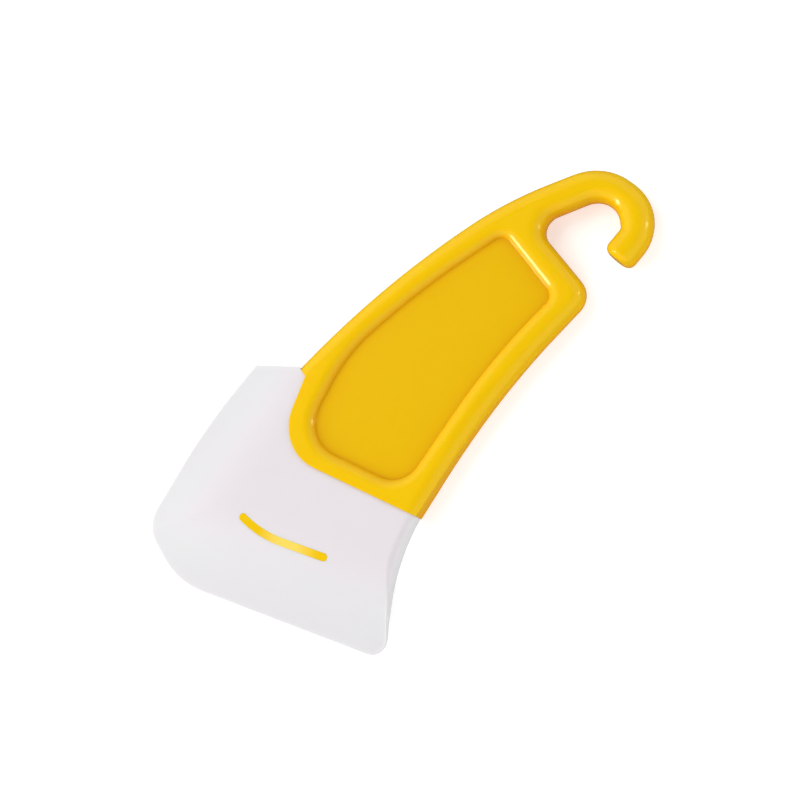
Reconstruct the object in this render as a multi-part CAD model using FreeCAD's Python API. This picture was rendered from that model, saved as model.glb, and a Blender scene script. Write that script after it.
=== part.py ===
"""Hand scraper with a soft blade: a one-piece moulded handle with a hanging hook, and a
silicone blade moulded over the handle's tongue.

Millimetres.  The tool lies flat: +X runs from the blade to the hook, +Y across the tool and
+Z through its thickness.  The origin is the middle of the bottom of the whole tool's box.
"""
import FreeCAD, Part
import math
import os

Vector = FreeCAD.Vector

# ---- driving dimensions ----------------------------------------------------------------
THICKNESS = 8.8             # grip rim and hook, face to face
MID_PLANE = THICKNESS / 2   # the mould's parting plane

# Grip: a rim like a round bar, a thinner web inside it, and a hook that ends the bar
BAR_RADIUS = 4.1            # rounding of the rim's and the hook's free edges
TIP_RADIUS = 2.2            # rounding round the hook's blunt end
WEB_DEPTH = 2.2             # from the rim's crest down to the web, in each face
RIM_ROLL = 3.4              # radius that turns the rim down to the web
WEB_ANCHOR = 1.5            # how far the web runs on inside the rim

# Blade
BLADE_SINK = 0.45           # how far the blade's faces lie below the rim's crest
PLATEAU_HALF = MID_PLANE - BLADE_SINK
LIP_HALF = 0.75             # half the thickness of the scraping lip
LIP_LENGTH = 6.5            # flat lip, measured in from the scraping edge
WEDGE_END = 21.0            # where the wedge behind the lip reaches full thickness
BEVEL_WIDTH = 14.0          # thinned strip along the long side
BEVEL_HALF = 0.95           # half the thickness at that strip's outer side
SOFT_RIDGE = 40.0           # radius that softens the change from one slope to the next
SIDE_RADIUS = 2.2           # rounding of the short side, where the blade is thick
CORNER_RADIUS = 4.2         # in plan, between the short side and the scraping edge

# Tongue inside the blade
TONGUE_THICKNESS = 2.2
TONGUE_HOLE_RADIUS = 3.6
RIB_WIDTH = 2.2             # the curved rib that shows in both faces of the blade

BEYOND = 60.0               # a length that reaches past every side of the tool

# ---- outlines: corner x, corner y, rounding radius --------------------------------------
# The seam between grip and blade, from the short side of the tool to the long side
SEAM = [(-24.4, -23.9, 0), (-35.8, 17.8, 13.0), (-15.6, 24.9, 0), (-14.9, 28.7, 0)]

# The grip's free edge, from the long side round the hook and back to the short side
GRIP_EDGE = [
    (14.5, 26.6, 250),
    (54.8, 14.3, 105),
    (79.4, -0.4, 15.8),
    (79.5, -24.5, 13.4),
    (60.9, -24.5, 0),
    (60.9, -15.6, 0),
    (68.0, -15.6, 1.5),
    (74.9, -7.9, 6.7),
    (54.9, 3.7, 4.6),
    (49.8, -21.5, 6.0),
    (32.0, -20.4, 50),
]
WAIST = (8.0, -19.6, 250)
TRIM_FROM = (30.5, -20.35, 0)       # on the short side, where the flat beside the blade starts

# The bar runs on past the seam, and stands off a little from the tool's flat short side
BAR_START = (-38.0, 30.3, 0)
BAR_WAIST = (8.0, -19.6, 220)
BAR_END = (-40.0, -27.5, 0)

POCKET = [
    (-28.8, 14.3, 9.8),
    (-3.7, 20.5, 44.8),
    (24.9, 15.1, 199.8),
    (47.4, 7.9, 2.8),
    (42.8, -13.3, 2.8),
    (20.4, -11.3, 180.2),
    (-20.8, -15.6, 7.8),
]

# The blade's free edge, from the seam's long-side end round to its short-side end
BLADE_FREE_EDGE = [
    (-22.3, 39.5, 1.0),
    (-42.0, 39.6, 160),
    (-75.1, 33.8, 10),
    (-80.8, 16.8, 22),
    (-58.1, -42.3, 0),
    (-39.2, -26.9, 60),
]
SCRAPING_FROM = (-58.1, -42.3)
SCRAPING_TO = (-80.8, 16.8)
SCRAPING_ANGLE = 21.0               # degrees, the way into the blade from its scraping edge
BEVEL_RIDGE = (-18.0, 25.4)         # a point on the ridge beside the thinned strip
BEVEL_ANGLE = 274.6                 # degrees, the way into the blade from its long side

TONGUE_EDGE = [
    (-30.3, 31.0, 3),
    (-62.3, 28.0, 7),
    (-67.8, 14.0, 12),
    (-53.3, -23.0, 5),
    (-30.3, -18.5, 5),
]
TONGUE_HOLES = [(-50.0, 21.0), (-46.0, 4.0), (-38.5, -11.0)]
RIB_LINE = [(-48.6, -11.9, 0), (-55.4, 5.6, 30), (-55.2, 12.7, 0)]


# ---- drawing helpers ---------------------------------------------------------------------
def corner_arc(before, corner, after):
    """The start, middle and end of the arc that rounds one corner of an outline."""
    here = Vector(corner[0], corner[1], 0)
    back = (Vector(before[0], before[1], 0) - here).normalize()
    onward = (Vector(after[0], after[1], 0) - here).normalize()
    half_turn = (math.pi - back.getAngle(onward)) / 2
    reach = corner[2] * math.tan(half_turn)
    bisector = (back + onward).normalize()
    centre = here + bisector * (corner[2] / math.cos(half_turn))
    return here + back * reach, centre - bisector * corner[2], here + onward * reach


def rounded_path(corners, closed):
    """Edges of a path of straight runs and tangent arcs through the given corners."""
    edges = []
    count = len(corners)
    last_end = None
    first_start = None
    for i in range(count):
        corner = corners[i]
        if corner[2] > 0:
            start, middle, end = corner_arc(corners[i - 1], corner, corners[(i + 1) % count])
        else:
            start = middle = end = Vector(corner[0], corner[1], 0)
        if last_end is not None and last_end.distanceToPoint(start) > 0.001:
            edges.append(Part.makeLine(last_end, start))
        if corner[2] > 0:
            edges.append(Part.Arc(start, middle, end).toShape())
        if first_start is None:
            first_start = start
        last_end = end
    if closed and last_end.distanceToPoint(first_start) > 0.001:
        edges.append(Part.makeLine(last_end, first_start))
    return edges


def rounded_wire(corners, closed=True):
    return Part.Wire(rounded_path(corners, closed))


def plate(corners, bottom, height):
    """A flat plate of a rounded outline."""
    face = Part.Face(rounded_wire(corners))
    face.translate(Vector(0, 0, bottom))
    return face.extrude(Vector(0, 0, height))


def other_side(shape):
    """The same shape on the opposite side of the parting plane."""
    return shape.mirror(Vector(0, 0, MID_PLANE), Vector(0, 0, 1))


def level_edges(solid, heights):
    """Edges of a solid that lie level at one of the given heights."""
    edges = []
    for height in heights:
        edges += [e for e in solid.Edges if all(abs(v.Z - height) < 0.001 for v in e.Vertexes)]
    return edges


# ---- handle ------------------------------------------------------------------------------
def hook_end(edge):
    """True for an edge of the flat face that ends the hook."""
    return all(abs(v.X - GRIP_EDGE[4][0]) < 0.001 for v in edge.Vertexes)


def bar_block():
    """The grip and hook as a round-edged plate that runs on past the seam."""
    block = plate([BAR_START] + GRIP_EDGE + [BAR_WAIST, BAR_END], 0, THICKNESS)
    free = [e for e in level_edges(block, (0, THICKNESS)) if not hook_end(e)]
    free = [e for e in free if max(v.X for v in e.Vertexes) > BAR_START[0] + 1]
    block = block.makeFillet(BAR_RADIUS, free)
    return block.makeFillet(TIP_RADIUS, [e for e in block.Edges if hook_end(e)])


def grip_outline():
    return [SEAM[3]] + GRIP_EDGE + [WAIST] + SEAM[0:3]


def trimmed_grip():
    """The bar cut off at the seam and cut flat along the short side beside the blade."""
    keep = [SEAM[3], (SEAM[3][0], BEYOND, 0), (2 * BEYOND, BEYOND, 0), (2 * BEYOND, -BEYOND, 0)]
    keep += [(TRIM_FROM[0], -BEYOND, 0), TRIM_FROM, WAIST]
    return bar_block().common(plate(keep + SEAM[0:3], 0, THICKNESS))


def pocketed_grip():
    """The grip opened inside its rim, the rim rolled inward, and the web set across it."""
    grip = trimmed_grip().cut(plate(POCKET, 0, THICKNESS))
    zone = Part.Face(rounded_wire(POCKET).makeOffset2D(0.1))
    inner = []
    for edge in level_edges(grip, (0, THICKNESS)):
        middle = edge.valueAt((edge.FirstParameter + edge.LastParameter) / 2)
        if zone.isInside(Vector(middle.x, middle.y, 0), 0.001, True):
            inner.append(edge)
    ring = grip.makeFillet(RIM_ROLL, inner)
    web = Part.Face(rounded_wire(POCKET).makeOffset2D(WEB_ANCHOR))
    web.translate(Vector(0, 0, WEB_DEPTH))
    return ring.fuse(web.extrude(Vector(0, 0, THICKNESS - 2 * WEB_DEPTH)))


def tongue():
    """The plate that the blade is moulded over, with holes that the silicone grips through."""
    root = [(-20.3, -17.0, 0), (-15.3, 22.0, 0), (-16.3, 25.5, 0)]
    bottom = MID_PLANE - TONGUE_THICKNESS / 2
    body = plate(root + TONGUE_EDGE, bottom, TONGUE_THICKNESS)
    for x, y in TONGUE_HOLES:
        hole = Part.makeCylinder(TONGUE_HOLE_RADIUS, TONGUE_THICKNESS, Vector(x, y, bottom))
        body = body.cut(hole)
    return body


def rib(form):
    """The curved rib on the tongue, which comes out flush in both faces of the blade."""
    line = rounded_wire(RIB_LINE, closed=False)
    face = Part.Face(line.makeOffset2D(RIB_WIDTH / 2, 0, False, False))
    return face.extrude(Vector(0, 0, THICKNESS)).common(form)


# ---- blade -------------------------------------------------------------------------------
def slope(start, end, low, high):
    """Profile of a rise from one half thickness to another, with what lies above it."""
    return [
        (-BEYOND, low, 0),
        (start, low, SOFT_RIDGE),
        (end, high, SOFT_RIDGE),
        (2 * BEYOND, high, 0),
        (2 * BEYOND, THICKNESS, 0),
        (-BEYOND, THICKNESS, 0),
    ]


def above_slope(profile, origin, angle):
    """A long prism of a profile that runs across the blade at an angle from an origin."""
    face = Part.Face(rounded_wire(profile))
    face.rotate(Vector(0, 0, 0), Vector(1, 0, 0), 90)
    prism = face.extrude(Vector(0, 4 * BEYOND, 0))
    prism.translate(Vector(0, -2 * BEYOND, MID_PLANE))
    prism.rotate(Vector(0, 0, 0), Vector(0, 0, 1), angle)
    prism.translate(Vector(origin[0], origin[1], 0))
    return prism


def wedge():
    """Above the wedge that swells from the scraping lip to the plateau."""
    profile = slope(LIP_LENGTH, WEDGE_END, LIP_HALF, PLATEAU_HALF)
    return above_slope(profile, SCRAPING_FROM, SCRAPING_ANGLE)


def bevel():
    """Above the strip that thins from the ridge to the long side."""
    profile = slope(-BEVEL_WIDTH, 0, BEVEL_HALF, PLATEAU_HALF)
    return above_slope(profile, BEVEL_RIDGE, BEVEL_ANGLE)


def corner_waste():
    """What rounds off the corner between the blade's short side and its scraping edge."""
    corner = (SCRAPING_FROM[0], SCRAPING_FROM[1], CORNER_RADIUS)
    start, middle, end = corner_arc(BLADE_FREE_EDGE[-1], corner, SCRAPING_TO)
    inward = (start + end - middle * 2).normalize()
    outside = Vector(corner[0], corner[1], 0) - inward * CORNER_RADIUS
    arc = Part.Arc(start, middle, end).toShape()
    wire = Part.Wire([arc, Part.makeLine(end, outside), Part.makeLine(outside, start)])
    return Part.Face(wire).extrude(Vector(0, 0, THICKNESS))


def blade_form():
    """The blade's outer form, running a little way into the grip behind the seam."""
    into_grip = [(-22.3, -23.6, 0), (-33.3, 17.0, 11.0), (-13.3, 24.0, 0), (-13.3, 28.4, 0)]
    outline = [SEAM[3]] + BLADE_FREE_EDGE + [SEAM[0]] + into_grip
    form = plate(outline, BLADE_SINK, THICKNESS - 2 * BLADE_SINK)
    short_side = rounded_wire([BLADE_FREE_EDGE[-2], BLADE_FREE_EDGE[-1], SEAM[0]], closed=False)
    beside = []
    for edge in level_edges(form, (BLADE_SINK, THICKNESS - BLADE_SINK)):
        middle = edge.valueAt((edge.FirstParameter + edge.LastParameter) / 2)
        if Part.Vertex(middle.x, middle.y, 0).distToShape(short_side)[0] < 0.01:
            beside.append(edge)
    form = form.makeFillet(SIDE_RADIUS, beside)
    for cutter in (wedge(), bevel()):
        form = form.cut(cutter).cut(other_side(cutter))
    return form.cut(corner_waste())


def write(name, shape):
    solids = shape.Solids
    result = solids[0] if len(solids) == 1 else Part.Compound(solids)
    result.exportStep("parts/" + name + ".step")
    print(name, "solids", len(solids), "valid", result.isValid(), "volume", round(result.Volume))


os.makedirs("parts", exist_ok=True)
form = blade_form()
core = tongue().fuse(rib(form))
blade = form.cut(plate(grip_outline(), 0, THICKNESS)).cut(core)
handle = pocketed_grip().fuse(core.copy()).removeSplitter()
write("handle", handle)
write("blade", blade)
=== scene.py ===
import math

import bpy
from mathutils import Matrix, Vector


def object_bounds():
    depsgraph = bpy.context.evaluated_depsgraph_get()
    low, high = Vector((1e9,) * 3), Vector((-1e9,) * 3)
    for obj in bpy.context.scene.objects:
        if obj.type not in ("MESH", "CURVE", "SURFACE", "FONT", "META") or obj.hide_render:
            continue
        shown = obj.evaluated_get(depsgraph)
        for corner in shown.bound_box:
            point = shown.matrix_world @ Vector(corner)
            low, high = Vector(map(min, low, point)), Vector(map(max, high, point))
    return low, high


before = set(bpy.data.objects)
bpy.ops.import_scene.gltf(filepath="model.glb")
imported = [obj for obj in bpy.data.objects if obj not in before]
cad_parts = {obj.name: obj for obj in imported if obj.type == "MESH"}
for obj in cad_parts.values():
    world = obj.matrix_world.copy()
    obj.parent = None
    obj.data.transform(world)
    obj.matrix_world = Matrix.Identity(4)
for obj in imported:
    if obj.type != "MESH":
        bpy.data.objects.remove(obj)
cad_low, cad_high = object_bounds()


# ---- Handle ------------------------------------------------------------------------------
# One injection moulding in rigid polypropylene: the grip with its rim and thumb pockets, the
# hook, and a tongue that the blade is moulded over. The polished mould opens at a parting
# plane half way through the tool.

MM = 0.001                          # the scene is in metres, the maker's sizes in millimetres
PARTING_PLANE = 4.4 * MM            # height above the table

RIM_YELLOW = "E3B900"
RIM_YELLOW_DEEP = "E1B500"
WEB_SHADE_YELLOW = "DAAE00"               # painted shade on the thin web and the low flanks, a deeper tone
HOLLOW_SHADE_YELLOW = "DE8F00"            # painted shade and bounce light where yellow faces stand close
FILMED_YELLOW = "F4E68A"            # seen through a thin film of the blade's silicone
GLOSS_TINT = "FFF2C4"               # the surface's own reflections, a little warm

MOTTLE_SIZE = 18 * MM               # slow drift of the pigment in the melt
PEEL_SIZE = 1.6 * MM                # faint orange peel that shrinkage leaves
PEEL_DEPTH = 0.01 * MM
WEB_HALF = 2.2 * MM                 # half the web's thickness, where the painted shade ends
RIM_HALF = 3.2 * MM                 # from here out the rim has its full colour
HOLLOW_REACH = 11 * MM              # how far a facing wall still adds painted shade
FILM_MIDDLE = (-53 * MM, -2 * MM, 8.3 * MM)     # on the rib's upper face
FILM_CORE = 2 * MM
FILM_REACH = 10 * MM                # the film has run out at this distance
FILM_COVER = 0.4                    # how much of the yellow the film hides at its middle


def linear(code):
    """A colour picked as sRGB hex, in the linear values that shaders take."""
    channels = [int(code[i:i + 2], 16) / 255 for i in (0, 2, 4)]
    return tuple(c / 12.92 if c <= 0.04045 else ((c + 0.055) / 1.055) ** 2.4 for c in channels)


def new_material(name):
    material = bpy.data.materials.new(name)
    material.use_nodes = True
    return material, material.node_tree, material.node_tree.nodes["Principled BSDF"]


def add(tree, kind, inputs, **settings):
    """Adds a node with its settings. Each input, by name or number, takes a link or a value."""
    node = tree.nodes.new(kind)
    for name, value in settings.items():
        setattr(node, name, value)
    for key, value in inputs.items():
        if isinstance(value, bpy.types.NodeSocket):
            tree.links.new(value, node.inputs[key])
        else:
            node.inputs[key].default_value = value
    return node


def off_parting_plane(tree, place):
    """How far a point lies from the parting plane, to either side."""
    parts = add(tree, "ShaderNodeSeparateXYZ", {"Vector": place})
    above = add(tree, "ShaderNodeMath", {0: parts.outputs["Z"], 1: PARTING_PLANE},
                operation="SUBTRACT")
    return add(tree, "ShaderNodeMath", {0: above.outputs[0]}, operation="ABSOLUTE").outputs[0]


def paint(node_name, material):
    """Gives a CAD node one material in place of its own."""
    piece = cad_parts[node_name]
    piece.data.materials.clear()
    piece.data.materials.append(material)


# Polypropylene from a polished mould: an even yellow with a soft gloss and a barely wavy skin.
# A little light enters it. Painted shade makes hollows, the thin web and the low flanks look deeper
# and warmer than the rim.
polypropylene, tree, shader = new_material("polypropylene_gloss_moulded")
place = add(tree, "ShaderNodeTexCoord", {}).outputs["Object"]
mottle = add(tree, "ShaderNodeTexNoise",
             {"Vector": place, "Scale": 1 / MOTTLE_SIZE, "Detail": 2.0})
rim = add(tree, "ShaderNodeMix",
          {0: mottle.outputs["Fac"], 6: (*linear(RIM_YELLOW), 1), 7: (*linear(RIM_YELLOW_DEEP), 1)},
          data_type="RGBA")
# Painted shade: near the parting plane, on the web and the low flanks, the yellow turns deeper.
rim_share = add(tree, "ShaderNodeMapRange",
                {"Value": off_parting_plane(tree, place), "From Min": WEB_HALF, "From Max": RIM_HALF})
rim_and_web_shade = add(tree, "ShaderNodeMix",
                  {0: rim_share.outputs[0], 6: (*linear(WEB_SHADE_YELLOW), 1), 7: rim.outputs[2]},
                  data_type="RGBA")
# Painted shade: an occlusion mask deepens and warms the yellow in hollows and between facing walls.
occlusion = add(tree, "ShaderNodeAmbientOcclusion", {"Distance": HOLLOW_REACH}, samples=12)
unshaded_share = add(tree, "ShaderNodeMapRange",
                 {"Value": occlusion.outputs["AO"], "From Min": 0.45, "From Max": 0.97})
with_hollow_shade = add(tree, "ShaderNodeMix",
                   {0: unshaded_share.outputs[0], 6: (*linear(HOLLOW_SHADE_YELLOW), 1),
                    7: rim_and_web_shade.outputs[2]},
                   data_type="RGBA")
from_film = add(tree, "ShaderNodeVectorMath", {0: place, 1: FILM_MIDDLE}, operation="DISTANCE")
film_share = add(tree, "ShaderNodeMapRange",
                 {"Value": from_film.outputs["Value"], "From Min": FILM_CORE,
                  "From Max": FILM_REACH, "To Min": FILM_COVER, "To Max": 0.0},
                 interpolation_type="SMOOTHSTEP")
with_film = add(tree, "ShaderNodeMix",
                {0: film_share.outputs[0], 6: with_hollow_shade.outputs[2],
                 7: (*linear(FILMED_YELLOW), 1)},
                data_type="RGBA")
tree.links.new(with_film.outputs[2], shader.inputs["Base Color"])
peel = add(tree, "ShaderNodeTexNoise", {"Vector": place, "Scale": 1 / PEEL_SIZE, "Detail": 1.0})
skin = add(tree, "ShaderNodeBump",
           {"Strength": 0.25, "Distance": PEEL_DEPTH, "Height": peel.outputs["Fac"]})
tree.links.new(skin.outputs[0], shader.inputs["Normal"])
polish = add(tree, "ShaderNodeMapRange",
             {"Value": mottle.outputs["Fac"], "To Min": 0.15, "To Max": 0.22})
tree.links.new(polish.outputs[0], shader.inputs["Roughness"])
shader.inputs["IOR"].default_value = 1.49
shader.inputs["Specular Tint"].default_value = (*linear(GLOSS_TINT), 1)
shader.inputs["Subsurface Weight"].default_value = 0.3
shader.inputs["Subsurface Radius"].default_value = (1.0, 0.35, 0.05)
shader.inputs["Subsurface Scale"].default_value = 1.5 * MM
paint("handle", polypropylene)


# ---- Blade -------------------------------------------------------------------------------
# One piece of white silicone rubber, moulded over the handle's tongue and held by the holes
# in it. It is thick beside the grip and tapers to a soft scraping lip.

THICK_WHITE = "D5CFD3"              # faintly pink where the rubber is deep
THIN_WHITE = "D2D2D3"               # neutral towards the lip
CLOUDY_WHITE = "CFCACD"
CLOUD_SIZE = 25 * MM                # slow change of whiteness through the cure
GRAIN_SIZE = 0.9 * MM               # the spark-eroded mould's fine grain, drawn coarser to show
GRAIN_DEPTH = 0.01 * MM
THIN_HALF = 2 * MM                  # half the thickness where the rubber counts as thin
THICK_HALF = 3.9 * MM               # half the thickness beside the grip

# Silicone rubber from a spark-eroded mould: a soft satin white with no clear reflections. Light
# sinks into it and evens out, so its slopes differ only a little.
silicone, tree, shader = new_material("silicone_rubber_satin_moulded")
place = add(tree, "ShaderNodeTexCoord", {}).outputs["Object"]
thick_share = add(tree, "ShaderNodeMapRange",
                  {"Value": off_parting_plane(tree, place), "From Min": THIN_HALF,
                   "From Max": THICK_HALF})
by_thickness = add(tree, "ShaderNodeMix",
                   {0: thick_share.outputs[0], 6: (*linear(THIN_WHITE), 1),
                    7: (*linear(THICK_WHITE), 1)},
                   data_type="RGBA")
cloud = add(tree, "ShaderNodeTexNoise",
            {"Vector": place, "Scale": 1 / CLOUD_SIZE, "Detail": 2.0})
cloud_share = add(tree, "ShaderNodeMapRange",
                  {"Value": cloud.outputs["Fac"], "To Min": 0.0, "To Max": 0.5})
clouded = add(tree, "ShaderNodeMix",
              {0: cloud_share.outputs[0], 6: by_thickness.outputs[2],
               7: (*linear(CLOUDY_WHITE), 1)},
              data_type="RGBA")
tree.links.new(clouded.outputs[2], shader.inputs["Base Color"])
grain = add(tree, "ShaderNodeTexNoise", {"Vector": place, "Scale": 1 / GRAIN_SIZE, "Detail": 1.0})
skin = add(tree, "ShaderNodeBump",
           {"Strength": 0.2, "Distance": GRAIN_DEPTH, "Height": grain.outputs["Fac"]})
tree.links.new(skin.outputs[0], shader.inputs["Normal"])
shader.inputs["Roughness"].default_value = 0.45
shader.inputs["IOR"].default_value = 1.41
shader.inputs["Subsurface Weight"].default_value = 0.4
shader.inputs["Subsurface Radius"].default_value = (1.0, 0.9, 0.95)
shader.inputs["Subsurface Scale"].default_value = 1.5 * MM
paint("blade", silicone)


# ---- Table -------------------------------------------------------------------------------
# A light table with a frosted opal top, as for a product picture on white. It glows a little
# from below, which takes the weight out of the tool's shadow.

TABLE_SIZE = 6.0
TABLE_GAP = 0.02 * MM               # keeps the top just clear of the tool
OPAL_WHITE = "E1E1E1"
OPAL_CLOUD = "DEDEDE"
OPAL_PATCH = 300 * MM               # slow change of the acrylic's whiteness

bpy.ops.mesh.primitive_plane_add(size=TABLE_SIZE, location=(0, 0, cad_low.z - TABLE_GAP))
table_top = bpy.context.object
table_top.name = "table_top"

# Cast opal acrylic with a frosted face: flat white, with hardly any shine.
opal, tree, shader = new_material("opal_acrylic_frosted")
place = add(tree, "ShaderNodeTexCoord", {}).outputs["Object"]
patch = add(tree, "ShaderNodeTexNoise", {"Vector": place, "Scale": 1 / OPAL_PATCH, "Detail": 1.0})
tint = add(tree, "ShaderNodeMix",
           {0: patch.outputs["Fac"], 6: (*linear(OPAL_WHITE), 1), 7: (*linear(OPAL_CLOUD), 1)},
           data_type="RGBA")
tree.links.new(tint.outputs[2], shader.inputs["Base Color"])
shader.inputs["Roughness"].default_value = 0.9
shader.inputs["Specular IOR Level"].default_value = 0.1
shader.inputs["Emission Color"].default_value = (1, 1, 1, 1)
shader.inputs["Emission Strength"].default_value = 0.45
table_top.data.materials.append(opal)
table_top.visible_glossy = False    # the tool's sides don't mirror the bright table


# ---- Room and lamps ----------------------------------------------------------------------
# A white studio: pale walls that glow evenly, a darker ceiling, and softboxes on stands. The
# large ones only fill, and the two narrow ones draw the lines of light on the gloss.

WALL_GLOW = 0.90
CEILING_GLOW = 0.18
CEILING_FROM = 0.70                 # sine of the height angle where the walls start to darken
CEILING_TO = 0.92                   # and where the ceiling is fully dark
BELOW_TABLE = 0.12                  # share of the walls' glow that is left below the table

scene = bpy.context.scene
scene.view_settings.view_transform = "Standard"
world = bpy.data.worlds.new("white_studio")
world.use_nodes = True
tree = world.node_tree
toward = add(tree, "ShaderNodeTexCoord", {}).outputs["Generated"]
rise = add(tree, "ShaderNodeSeparateXYZ", {"Vector": toward}).outputs["Z"]
walls = add(tree, "ShaderNodeMapRange",
            {"Value": rise, "From Min": CEILING_FROM, "From Max": CEILING_TO,
             "To Min": WALL_GLOW, "To Max": CEILING_GLOW},
            interpolation_type="SMOOTHSTEP")
above_table = add(tree, "ShaderNodeMapRange",
                  {"Value": rise, "From Min": -0.1, "From Max": 0.1, "To Min": BELOW_TABLE})
glow = add(tree, "ShaderNodeMath", {0: walls.outputs[0], 1: above_table.outputs[0]},
           operation="MULTIPLY")
tree.nodes["Background"].inputs["Color"].default_value = (1, 1, 1, 1)
tree.links.new(glow.outputs[0], tree.nodes["Background"].inputs["Strength"])
scene.world = world

centre = (cad_low + cad_high) / 2


def softbox(name, direction, distance, width, height, power, mirrored=True):
    """A rectangular lamp that faces the tool's middle from one direction, in metres and watts."""
    lamp = bpy.data.lights.new(name, "AREA")
    lamp.shape = "RECTANGLE"
    lamp.size = width
    lamp.size_y = height
    lamp.energy = power
    holder = bpy.data.objects.new(name, lamp)
    scene.collection.objects.link(holder)
    way = Vector(direction).normalized()
    holder.location = centre + way * distance
    holder.rotation_euler = way.to_track_quat("Z", "Y").to_euler()
    holder.visible_glossy = mirrored


softbox("key_softbox", (-0.1, 0.70, 0.85), 1.2, 0.9, 0.9, 6.9, mirrored=False)
softbox("strip_softbox", (-0.77, 0.50, 0.40), 1.0, 0.14, 0.42, 3.7)
softbox("front_softbox", (-0.70, -0.50, 0.60), 1.2, 0.6, 0.6, 2.6, mirrored=False)
softbox("rim_strip", (0.75, -0.59, 0.28), 1.0, 0.10, 0.30, 0.8)
softbox("side_softbox", (0.60, -0.77, 0.35), 1.2, 0.6, 0.6, 2.2, mirrored=False)


# ---- Camera ------------------------------------------------------------------------------
# A portrait lens looks down on the tool from its short side. The camera is rolled, so the
# tool lies across the picture with its hook up.

VIEW_AZIMUTH = math.radians(5)
VIEW_ELEVATION = math.radians(70)
LENGTH_TILT = math.radians(50)      # how steeply the tool's length rises across the picture
VIEW_DISTANCE = 505.1 * MM
AIM_OFFSET = Vector((-4.0, 1.3, 0.0)) * MM      # from the tool's middle

camera_data = bpy.data.cameras.new("camera")
camera_data.lens = 85
camera_data.sensor_width = 36
camera = bpy.data.objects.new("camera", camera_data)
scene.collection.objects.link(camera)
back = Vector((
    math.sin(VIEW_AZIMUTH) * math.cos(VIEW_ELEVATION),
    -math.cos(VIEW_AZIMUTH) * math.cos(VIEW_ELEVATION),
    math.sin(VIEW_ELEVATION),
))
level = Vector((0, 0, 1)).cross(back).normalized()
upright = back.cross(level)
tool_length = Vector((1, 0, 0))
tilt_without_roll = math.atan2(tool_length.dot(upright), tool_length.dot(level))
roll = tilt_without_roll - LENGTH_TILT
right = level * math.cos(roll) + upright * math.sin(roll)
up = upright * math.cos(roll) - level * math.sin(roll)
pose = Matrix((right, up, back)).transposed().to_4x4()
pose.translation = centre + AIM_OFFSET + back * VIEW_DISTANCE
camera.matrix_world = pose
scene.camera = camera
